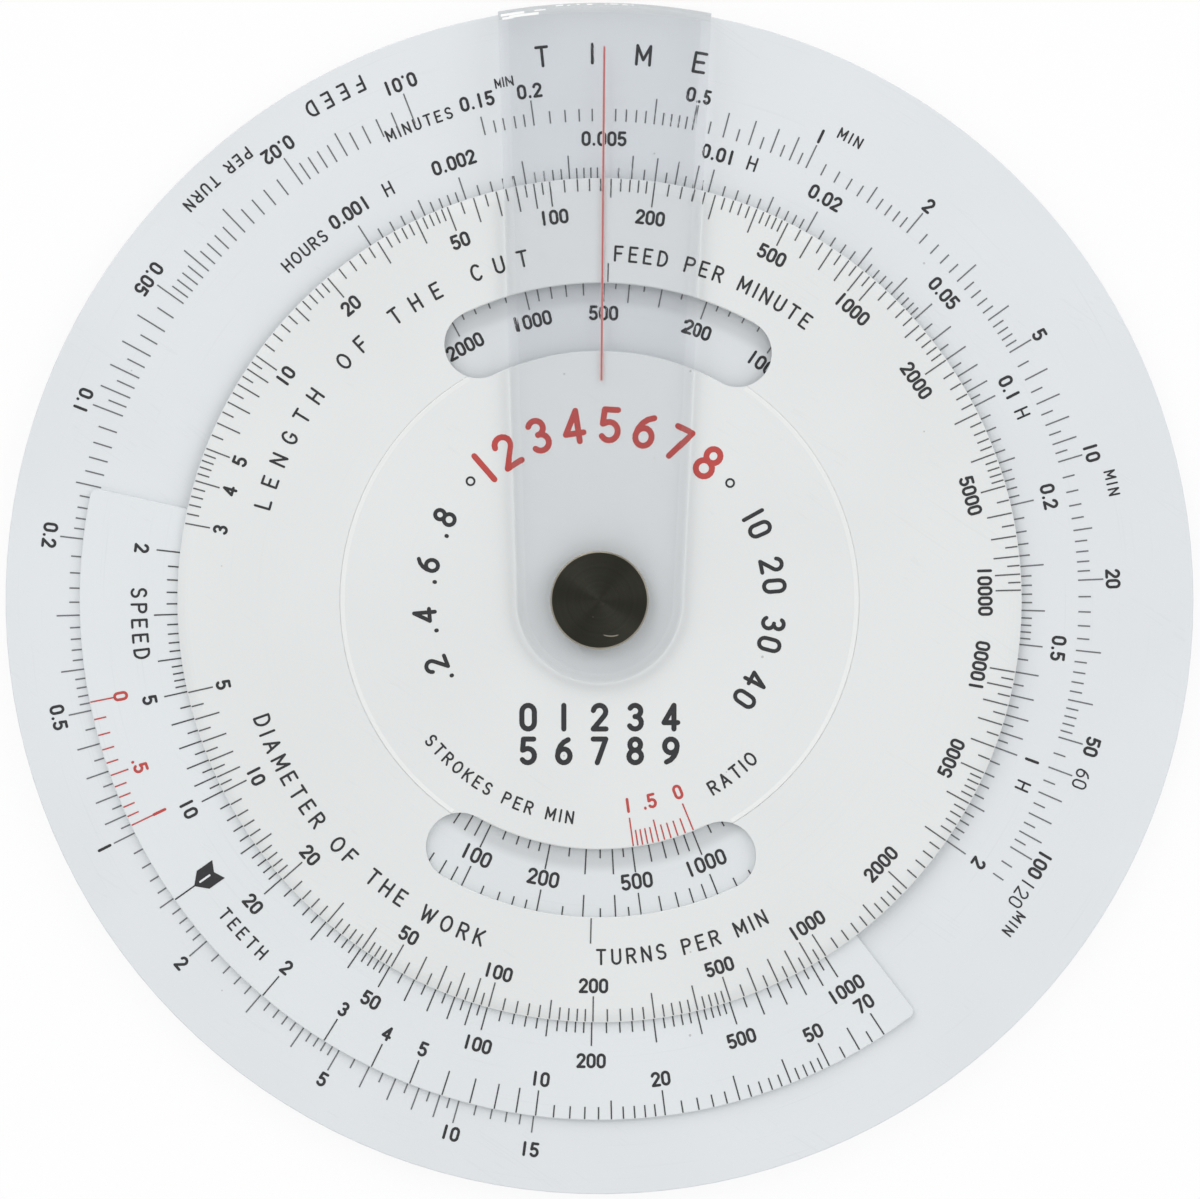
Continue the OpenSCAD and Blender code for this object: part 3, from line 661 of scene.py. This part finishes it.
def bend_finish(colour):
    """Clear plastic that the bending has clouded. It hides little of the light."""
    material, graph, out = new_finish("Clouded bend")
    position, _ = graph.use(rule_position)
    mottle = graph.use(print_mottle, {"Position": position})
    clouded = graph.blend(mottle["Film"], shaded(colour, 0.94), shaded(colour, 1.06))
    rough = graph.math("MULTIPLY_ADD", mottle["Film"], 0.2, 0.3)
    bump = graph.bump(mottle["Film"], 0.2, 0.02)
    skin = graph.surface(clouded, rough, CLEAR_IOR, bump)
    let_light_through(graph, out, skin, (0.95, 0.95, 0.95, 1))
    return material


def rivet_finish(face, edge):
    """Dull plated metal, turned on its face, with a bright chamfer and a stray scratch. The face is painted
    far darker than the plating, a painted reflection of the dark above it.
    """
    material, graph, out = new_finish("Turned rivet")
    position, radius = graph.use(rule_position)
    rim = RIVET_RADIUS / MM
    hairs = scratches(graph, position, RIVET_HAIRS)
    wear = graph.use(plate_wear, {
        "Position": graph.scaled(position, (2.6, 2.6, 1)), "Radius": radius, "Speck Share": 0.16})
    parts = graph.node("SeparateXYZ", {0: position}).outputs
    across = graph.math("SUBTRACT", parts[0], NICK_X)
    bow = graph.math("MULTIPLY_ADD", graph.math("MULTIPLY", across, across), NICK_BOW, NICK_Y)
    off = graph.math("ABSOLUTE", graph.math("SUBTRACT", parts[1], bow))
    nick = graph.math("MULTIPLY", graph.step(off, *NICK_WIDTH, 1.0, 0.0),
                      graph.step(graph.math("ABSOLUTE", across), *NICK_HALF, 1.0, 0.0))
    bright = graph.step(radius, *(rim - inwards for inwards in CHAMFER))
    marks = graph.math("MAXIMUM", nick, graph.math("MULTIPLY", wear["Specks"], 0.7))
    turned = graph.noise(graph.node("CombineXYZ", {0: radius}).outputs[0], 3.2, 3.0)
    # Painted reflection: the face takes the darkened plating colour, for the dark above it that it reflects.
    plain = graph.blend(turned, shaded(face, 0.75), shaded(face, 1.25))
    marked = graph.blend(marks, plain, shaded(edge, 0.9))
    colour = graph.blend(bright, marked, shaded(edge, 1))
    dull = graph.math("MULTIPLY_ADD", turned, 0.12, 0.42)
    rough = graph.math("MULTIPLY_ADD", bright, graph.math("SUBTRACT", 0.2, dull), dull)
    rings = graph.math("SINE", graph.math("MULTIPLY", radius, 40.0))
    height = graph.math("MULTIPLY_ADD", rings, 0.25, graph.math("SUBTRACT", turned, hairs))
    bump = graph.bump(height, 0.12, 0.01)
    round_about = graph.node("Tangent", direction_type="RADIAL", axis="Z")
    surface = graph.node("BsdfPrincipled", {
        "Base Color": colour, "Metallic": 1.0, "Roughness": rough, "Anisotropic": 0.95,
        "Anisotropic Rotation": 0.25, "Normal": bump.outputs[0], "Tangent": round_about.outputs[0]})
    graph.put(out, surface.outputs[0])
    return material


def dress(material, *nodes):
    """Give CAD nodes a finish in place of their plain one."""
    for node in nodes:
        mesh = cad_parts[node].data
        mesh.materials.clear()
        mesh.materials.append(material)


def stroke_edges(points, half, closed):
    """Points on the left and right edge of a pen stroke, with round ends where it is open."""
    count = len(points)
    left, right = [], []
    for place, point in enumerate(points):
        before = points[place - 1] if closed or place else None
        after = points[(place + 1) % count] if closed or place < count - 1 else None
        coming = (point - before).normalized() if before else (after - point).normalized()
        going = (after - point).normalized() if after else coming
        side = Vector((-coming.y, coming.x))
        mitre = (side + Vector((-going.y, going.x))).normalized()
        reach = half / max(mitre.dot(side), MITRE_LEAST)
        left.append(point + mitre * reach)
        right.append(point - mitre * reach)
    if closed:
        return left, right
    for end, outwards in ((0, points[0] - points[1]), (-1, points[-1] - points[-2])):
        outwards.normalize()
        side = Vector((outwards.y, -outwards.x)) * (1 if end == 0 else -1)
        for turn in END_TURNS:
            tip = points[end] + outwards * half * math.sin(math.radians(turn))
            wide = side * half * math.cos(math.radians(turn))
            for edge, sign in ((left, 1), (right, -1)):
                edge.insert(0 if end == 0 else len(edge), tip + wide * sign)
    return left, right


def straight_runs(points):
    """A pen path cut at its sharp corners, so that each run keeps its full width."""
    points = [points[0]] + [after for before, after in zip(points, points[1:]) if before != after]
    runs = [[points[0]]]
    for before, point, after in zip(points, points[1:], points[2:]):
        runs[-1].append(point)
        if (point - before).angle(after - point) > SHARP_TURN:
            runs.append([point])
    runs[-1].append(points[-1])
    return runs


def add_loops(bm, loops, closed=False):
    """Add a skin through loops of points, which closes on itself or has a cap at each end."""
    rings = [[bm.verts.new(point) for point in loop] for loop in loops]
    pairs = list(zip(rings, rings[1:]))
    if closed:
        pairs.append((rings[-1], rings[0]))
    else:
        bm.faces.new(rings[0])
        bm.faces.new(reversed(rings[-1]))
    for here, there in pairs:
        for side in range(len(here)):
            far = (side + 1) % len(here)
            bm.faces.new((here[side], there[side], there[far], here[far]))


def add_stroke(bm, points, half, low, high):
    """Add one pen stroke to the mesh as a closed film between two heights."""
    closed = (points[0] - points[-1]).length < half * CLOSE_SHARE
    edges = stroke_edges(points[:-1] if closed else points, half, closed)
    add_loops(bm, [((*a, high), (*b, high), (*b, low), (*a, low)) for a, b in zip(*edges)], closed)


def add_sign(bm, sign, height, stroke, spot, up, low, high):
    """Add one sign, its middle at a spot on the plate and its top towards up."""
    glyph = GLYPHS[sign]
    size = height - stroke
    right = Vector((up.y, -up.x))
    runs = [run for path in glyph.strokes for run in straight_runs(path)]
    for layer, run in enumerate(runs):
        points = [spot + right * (point.x - glyph.width / 2) * size + up * (point.y - 0.5) * size
                  for point in run]
        add_stroke(bm, points, stroke / 2, low, high + layer * LAYER)


def compass(angle):
    """Direction at an angle in degrees."""
    return Vector((math.cos(math.radians(angle)), math.sin(math.radians(angle))))


def facing(angle, outward):
    """Direction of the pivot's radius at an angle, and the way that tops of signs point there."""
    radial = compass(angle)
    return radial, radial if outward else -radial


def add_number(bm, digits, row, stroke, sizes, low):
    """Add one number of a scale, set straight across its radius."""
    value = float(digits) + row.shift
    radial, up = facing(row.one + row.way * DECADE * math.log10(value), row.outward)
    right = Vector((up.y, -up.x))
    height = sizes.number_height * row.size
    size = height - stroke
    cells = [POINT_CELL if digit == "." else DIGIT_CELL for digit in digits]
    place = -sum(cells) / 2
    for digit, cell in zip(digits, cells):
        spot = radial * row.radius * MM + right * (place + cell / 2) * size
        add_sign(bm, digit, height, stroke, spot, up, low, low + sizes.film)
        place += cell


def add_caption(bm, caption, sizes, low):
    """Add a caption whose signs fill an arc from its first to its last angle."""
    size = (caption.height - caption.stroke) * MM
    widths = [GLYPHS[sign].width * size for sign in caption.words]
    length = math.radians(abs(caption.last - caption.first)) * caption.radius * MM
    gap = (length - sum(widths)) / max(1, len(widths) - 1)
    way = 1 if caption.last > caption.first else -1
    run = 0.0 if len(widths) > 1 else (length - widths[0]) / 2
    for sign, width in zip(caption.words, widths):
        angle = caption.first + way * math.degrees((run + width / 2) / (caption.radius * MM))
        radial, up = facing(angle, caption.outward)
        add_sign(bm, sign, caption.height * MM, caption.stroke * MM,
                 radial * caption.radius * MM, up, low, low + sizes.film)
        run += width + gap


def new_object(name, data):
    """An object linked to the scene."""
    made = bpy.data.objects.new(name, data)
    bpy.context.scene.collection.objects.link(made)
    return made


def mesh_object(name, material, bm):
    """An object of a finished mesh in one material."""
    mesh = bpy.data.meshes.new(name)
    bm.to_mesh(mesh)
    bm.free()
    mesh.materials.append(material)
    return new_object(name, mesh)


def add_piece(name, body, material, bm):
    """Turn a finished mesh into a piece that rides on a plate."""
    bmesh.ops.recalc_face_normals(bm, faces=bm.faces)
    piece = mesh_object(name, material, bm)
    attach(piece, body)


def print_rows(context, rows, body, level):
    """Print the numbers of the scales on one plate."""
    sizes, finish = context.scene.rule_print, context.scene.rule_finish
    for row in rows:
        bm = bmesh.new()
        for digits in row.numbers.split():
            add_number(bm, digits, row, sizes.number_stroke, sizes, level)
        for digits in row.light.split():
            add_number(bm, digits, row, sizes.light_stroke, sizes, level)
        material = red_print(finish) if row.ink == "red_ink" else black_print(finish)
        add_piece(row.piece, body, material, bm)


def add_band(bm, section, first, last):
    """Add a closed band about the pivot between two angles. Its section is a loop of radii and heights."""
    steps = max(1, round((last - first) / BAND_STEP))
    ways = [compass(first + (last - first) * step / steps) for step in range(steps + 1)]
    add_loops(bm, [[(*way * radius, height) for radius, height in section] for way in ways])


def seam_bead(material):
    """Lay the filling of the seam, which rises from the inlay and slopes down to the disc."""
    bm = bmesh.new()
    inner = SEAM_RADIUS * MM
    outer = inner + SEAM_FILL * MM
    start = inner - SEAM_LEAD * MM
    low, high = TOP_TOP - SEAM_DEPTH * MM, TOP_TOP + SEAM_RISE * MM
    face = TOP_TOP + LAYER
    section = ((inner, low), (inner, face), (start, face), (start, face + LAYER), (inner, high),
               (outer, TOP_TOP), (outer, low))
    for first, last in SEAM_SPANS:
        add_band(bm, section, first, last)
    add_piece("seam_bead", "top", material, bm)


def bend_section(turns, low, high):
    """Section of a film on the cursor's upper bend, at the given turns up the bend."""
    middle = Vector((CURSOR_HIGH.y, CURSOR_HIGH.z)) - Vector((BEND, BEND)) * MM
    outside = [middle + compass(turn) * (BEND + high) * MM for turn in turns]
    inside = [middle + compass(turn) * (BEND + low) * MM for turn in turns]
    return outside + inside[::-1]


def bend_skin(material):
    """Lay the clouded skin over the cursor's upper bend, from edge to edge."""
    bm = bmesh.new()
    edges = CURSOR_HIGH.x, CURSOR_LOW.x
    first, last = (math.degrees(math.acos(edge / CURSOR_HIGH.y)) for edge in edges)
    add_band(bm, bend_section(SKIN_TURNS, SKIN_LIFT, SKIN_OUT), first, last)
    add_piece("bend_skin", "cursor", material, bm)


def stress_marks(material):
    """Scatter the painted glints over the bend, white marks where its crinkles catch the lamps."""
    bm = bmesh.new()
    for first, last, lower, upper in GLINT_MARKS:
        add_band(bm, bend_section((lower, upper), SKIN_LIFT, MARK_OUT), first, last)
    add_piece("stress_marks", "cursor", material, bm)


def hairline_margin(material):
    """Lay the pale margin beside the hairline, a little lower than the line itself."""
    low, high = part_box("hairline")
    middle = (low.x + high.x) / 2
    lean = (high.y - low.y) / 2 * math.tan(CURSOR_LEAN)
    ends = [Vector((middle - lean, low.y)), Vector((middle + lean, high.y))]
    thick = high.z - low.z
    bm = bmesh.new()
    add_stroke(bm, ends, MARGIN_WIDTH * MM / 2, low.z + thick * MARGIN_BELOW, high.z - thick * MARGIN_ABOVE)
    add_piece("hairline_margin", "cursor", material, bm)


def print_captions(context, captions, level, name, body, material):
    """Print a group of captions on one plate as one piece."""
    bm = bmesh.new()
    for caption in captions:
        add_caption(bm, caption, context.scene.rule_print, level)
    add_piece(name, body, material, bm)


class RULE_OT_stage(bpy.types.Operator):
    """Place the camera, the soft lamps, the light tent and the pale floor"""

    bl_idname = "slide_rule.stage"
    bl_label = "Stage"

    def execute(self, context):
        stage = context.scene.rule_stage
        context.scene.view_settings.view_transform = "Standard"
        self.add_camera(context, stage)
        for lamp, azimuth, elevation, size in LAMPS:
            name = lamp.replace("_", " ").capitalize()
            self.add_lamp(name, getattr(stage, lamp), azimuth, elevation, size)
        self.add_tent(context, stage)
        self.add_floor()
        return {"FINISHED"}

    def add_camera(self, context, stage):
        """Look straight down, with the pivot just below and left of the middle."""
        data = bpy.data.cameras.new("Camera")
        data.lens = stage.lens
        data.sensor_width = SENSOR_WIDTH
        data.sensor_fit = "HORIZONTAL"
        camera = new_object("Camera", data)
        height = stage.frame_width * stage.lens / data.sensor_width
        camera.location = (CAMERA_X * MM, CAMERA_Y * MM, BASE_TOP + height)
        context.scene.camera = camera

    def add_lamp(self, name, power, azimuth, elevation, size):
        """A soft square lamp that points at the rule."""
        data = bpy.data.lights.new(name, "AREA")
        data.energy = power
        data.size = size
        lamp = new_object(name, data)
        level, rise = compass(elevation)
        lamp.location = LAMP_DISTANCE * Vector((*compass(azimuth) * level, rise))
        lamp.rotation_euler = (-lamp.location).to_track_quat("-Z", "Y").to_euler()

    def add_tent(self, context, stage):
        """A pale tent all round, darker at its foot and with a dark opening overhead."""
        world = bpy.data.worlds.new("Light tent")
        world.use_nodes = True
        world.node_tree.nodes.clear()
        graph = Graph(world.node_tree)
        way = graph.node("TexCoord").outputs["Generated"]
        rise = graph.node("SeparateXYZ", {0: way}).outputs[2]
        wall = graph.blend(graph.step(rise, *TENT_FOOT), (*stage.tent_foot, 1), (*stage.tent_side, 1))
        colour = graph.blend(graph.step(rise, *TENT_OPENING), wall, (*stage.tent_top, 1))
        light = graph.node("Background", {"Color": colour})
        graph.node("OutputWorld", {"Surface": light.outputs[0]})
        context.scene.world = world

    def add_floor(self):
        """A white floor under the rule that keeps the shadow."""
        material, graph, out = new_finish("Pale floor")
        path = graph.node("LightPath").outputs
        seen = graph.math("MAXIMUM", path["Is Camera Ray"],
                          graph.math("MAXIMUM", path["Is Glossy Ray"], path["Is Transmission Ray"]))
        paper = graph.node("BsdfDiffuse", {"Color": FLOOR_PAPER})
        white = graph.node("Emission")
        whole = graph.node("MixShader", {
            0: graph.math("MULTIPLY", seen, FLOOR_WHITE), 1: paper.outputs[0], 2: white.outputs[0]})
        graph.put(out, whole.outputs[0])
        bm = bmesh.new()
        bmesh.ops.create_grid(bm, x_segments=FLOOR_CELLS, y_segments=FLOOR_CELLS, size=FLOOR_HALF)
        floor = mesh_object("floor", material, bm)
        floor.location.z = -FLOOR_DROP * MM


class RULE_OT_plates(bpy.types.Operator):
    """Give the base disc, the sector plate, the top disc, its inlay and the washers their plastic"""

    bl_idname = "slide_rule.plates"
    bl_label = "Plates"

    def execute(self, context):
        finish = context.scene.rule_finish
        dress(plate_finish("Base plastic", finish.base_white, specks=0.05, scuff=0.35, window_shade=BASE_WINDOW_SHADE),
              "base_disc")
        dress(plate_finish("Sector plastic", finish.sector_white, specks=0.06, scuff=0.4, window_shade=SECTOR_WINDOW_SHADE),
              "sector_plate")
        dress(plate_finish("Top plastic", finish.top_white, specks=0.05, scuff=0.15, roll=ROLL_SLOPE),
              "top_disc", "centre_inlay")
        # The seam filling's lighter white is a painted highlight.
        seam_bead(plate_finish("Seam filling", finish.seam_white))
        dress(plate_finish("Washer plastic", finish.washer_white, specks=0.1, scuff=0.5),
              "front_washer", "rear_washer")
        return {"FINISHED"}


class RULE_OT_printed_lines(bpy.types.Operator):
    """Give the graduation lines and the pointer their ink"""

    bl_idname = "slide_rule.printed_lines"
    bl_label = "Printed lines"

    def execute(self, context):
        finish = context.scene.rule_finish
        dress(black_print(finish), "sector_pointer")
        dress(line_print("Base line print", finish.base_lines),
              "feed_scale", "minute_scale", "hour_scale", "feed_rate_scale")
        dress(line_print("Sector line print", finish.sector_lines),
              "speed_scale", "teeth_scale", "spindle_scale")
        dress(line_print("Top line print", finish.top_lines),
              "length_scale", "diameter_scale", "index_lines")
        dress(red_print(finish), "sector_ratio_scale", "disc_ratio_scale")
        return {"FINISHED"}


class RULE_OT_base_print(bpy.types.Operator):
    """Print the numbers and captions on the base disc"""

    bl_idname = "slide_rule.base_print"
    bl_label = "Base disc print"

    def execute(self, context):
        print_rows(context, BASE_ROWS, "base", BASE_TOP)
        ink = black_print(context.scene.rule_finish)
        print_captions(context, BASE_CAPTIONS, BASE_TOP, "base_captions", "base", ink)
        return {"FINISHED"}


class RULE_OT_sector_print(bpy.types.Operator):
    """Print the numbers and captions on the sector plate"""

    bl_idname = "slide_rule.sector_print"
    bl_label = "Sector plate print"

    def execute(self, context):
        finish = context.scene.rule_finish
        print_rows(context, SECTOR_ROWS, "sector", SECTOR_TOP)
        ink = black_print(finish)
        print_captions(context, SECTOR_CAPTIONS, SECTOR_TOP, "sector_captions", "sector", ink)
        white = ink_finish("White print", finish.sector_white, shaded(finish.sector_white, 0.7)[:3])
        tag_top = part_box("sector_pointer")[1].z
        print_captions(context, POINTER_NUMBER, tag_top, "pointer_number", "sector", white)
        return {"FINISHED"}


class RULE_OT_top_print(bpy.types.Operator):
    """Print the numbers, the captions and the centre ring on the top disc"""

    bl_idname = "slide_rule.top_print"
    bl_label = "Top disc print"

    def execute(self, context):
        finish, sizes = context.scene.rule_finish, context.scene.rule_print
        print_rows(context, TOP_ROWS, "top", TOP_TOP)
        black, red = black_print(finish), red_print(finish)
        print_captions(context, TOP_CAPTIONS, TOP_TOP, "top_captions", "top", black)
        print_captions(context, CENTRE_RED, TOP_TOP, "centre_red_numbers", "top", red)
        bm = bmesh.new()
        for caption in CENTRE_BLACK:
            add_caption(bm, caption, sizes, TOP_TOP)
        for digits, level in CENTRE_LINES:
            for place, digit in enumerate(digits):
                across = (2 * place / (len(digits) - 1) - 1) * CENTRE_HALF
                add_sign(bm, digit, CENTRE_HEIGHT * MM, CENTRE_STROKE * MM, Vector((across, level)) * MM,
                         Vector((0, 1)), TOP_TOP, TOP_TOP + sizes.film)
        add_piece("centre_black_numbers", "top", black, bm)
        return {"FINISHED"}


class RULE_OT_cursor(bpy.types.Operator):
    """Give the cursor its clear plastic, its bend the clouding and the painted glints, and its hairline the
    ink
    """

    bl_idname = "slide_rule.cursor"
    bl_label = "Cursor"

    def execute(self, context):
        finish = context.scene.rule_finish
        dress(cursor_finish(finish.cursor_clear), "cursor")
        dress(ink_finish("Hairline print", finish.hairline_red, THIN_HAIRLINE), "hairline")
        hairline_margin(ink_finish("Hairline margin", finish.margin_pink, THIN_MARGIN))
        bend_skin(bend_finish(finish.bend_cloud))
        stress_marks(plate_finish("Stress white", finish.stress_white))
        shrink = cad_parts["hairline"].modifiers.new("Under the leaf", "DISPLACE")
        shrink.strength = -HAIRLINE_SHRINK * MM
        shrink.mid_level = 0.0
        return {"FINISHED"}


class RULE_OT_rivet(bpy.types.Operator):
    """Give the rivet its turned and dulled plating, its face painted dark as a reflection of the dark above
    it
    """

    bl_idname = "slide_rule.rivet"
    bl_label = "Rivet"

    def execute(self, context):
        finish = context.scene.rule_finish
        dress(rivet_finish(finish.rivet_face, finish.rivet_edge), "rivet_head", "rivet_socket")
        return {"FINISHED"}


STEPS = (RULE_OT_stage, RULE_OT_plates, RULE_OT_printed_lines, RULE_OT_base_print,
         RULE_OT_sector_print, RULE_OT_top_print, RULE_OT_cursor, RULE_OT_rivet)


class RULE_PT_panel(bpy.types.Panel):
    """Steps and values of the slide rule"""

    bl_idname = "RULE_PT_panel"
    bl_label = "Circular slide rule"
    bl_space_type = "VIEW_3D"
    bl_region_type = "UI"
    bl_category = "Slide rule"

    def draw(self, context):
        column = self.layout.column()
        for step in STEPS:
            column.operator(step.bl_idname)
        for group in (context.scene.rule_print, context.scene.rule_finish, context.scene.rule_stage):
            box = self.layout.box()
            for name in group.__annotations__:
                box.prop(group, name)


CLASSES = (RulePrint, RuleFinish, RuleStage, *STEPS, RULE_PT_panel)


def register():
    """Register the classes and hang their values on the scene."""
    for kind in CLASSES:
        bpy.utils.register_class(kind)
    bpy.types.Scene.rule_print = PointerProperty(type=RulePrint)
    bpy.types.Scene.rule_finish = PointerProperty(type=RuleFinish)
    bpy.types.Scene.rule_stage = PointerProperty(type=RuleStage)


def unregister():
    """Take the values off the scene and the classes out again."""
    del bpy.types.Scene.rule_stage
    del bpy.types.Scene.rule_finish
    del bpy.types.Scene.rule_print
    for kind in reversed(CLASSES):
        bpy.utils.unregister_class(kind)


def main():
    """Build the dressed rule."""
    register()
    bpy.ops.slide_rule.stage()
    bpy.ops.slide_rule.plates()
    bpy.ops.slide_rule.printed_lines()
    bpy.ops.slide_rule.base_print()
    bpy.ops.slide_rule.sector_print()
    bpy.ops.slide_rule.top_print()
    bpy.ops.slide_rule.cursor()
    bpy.ops.slide_rule.rivet()


if __name__ == "__main__":
    main()
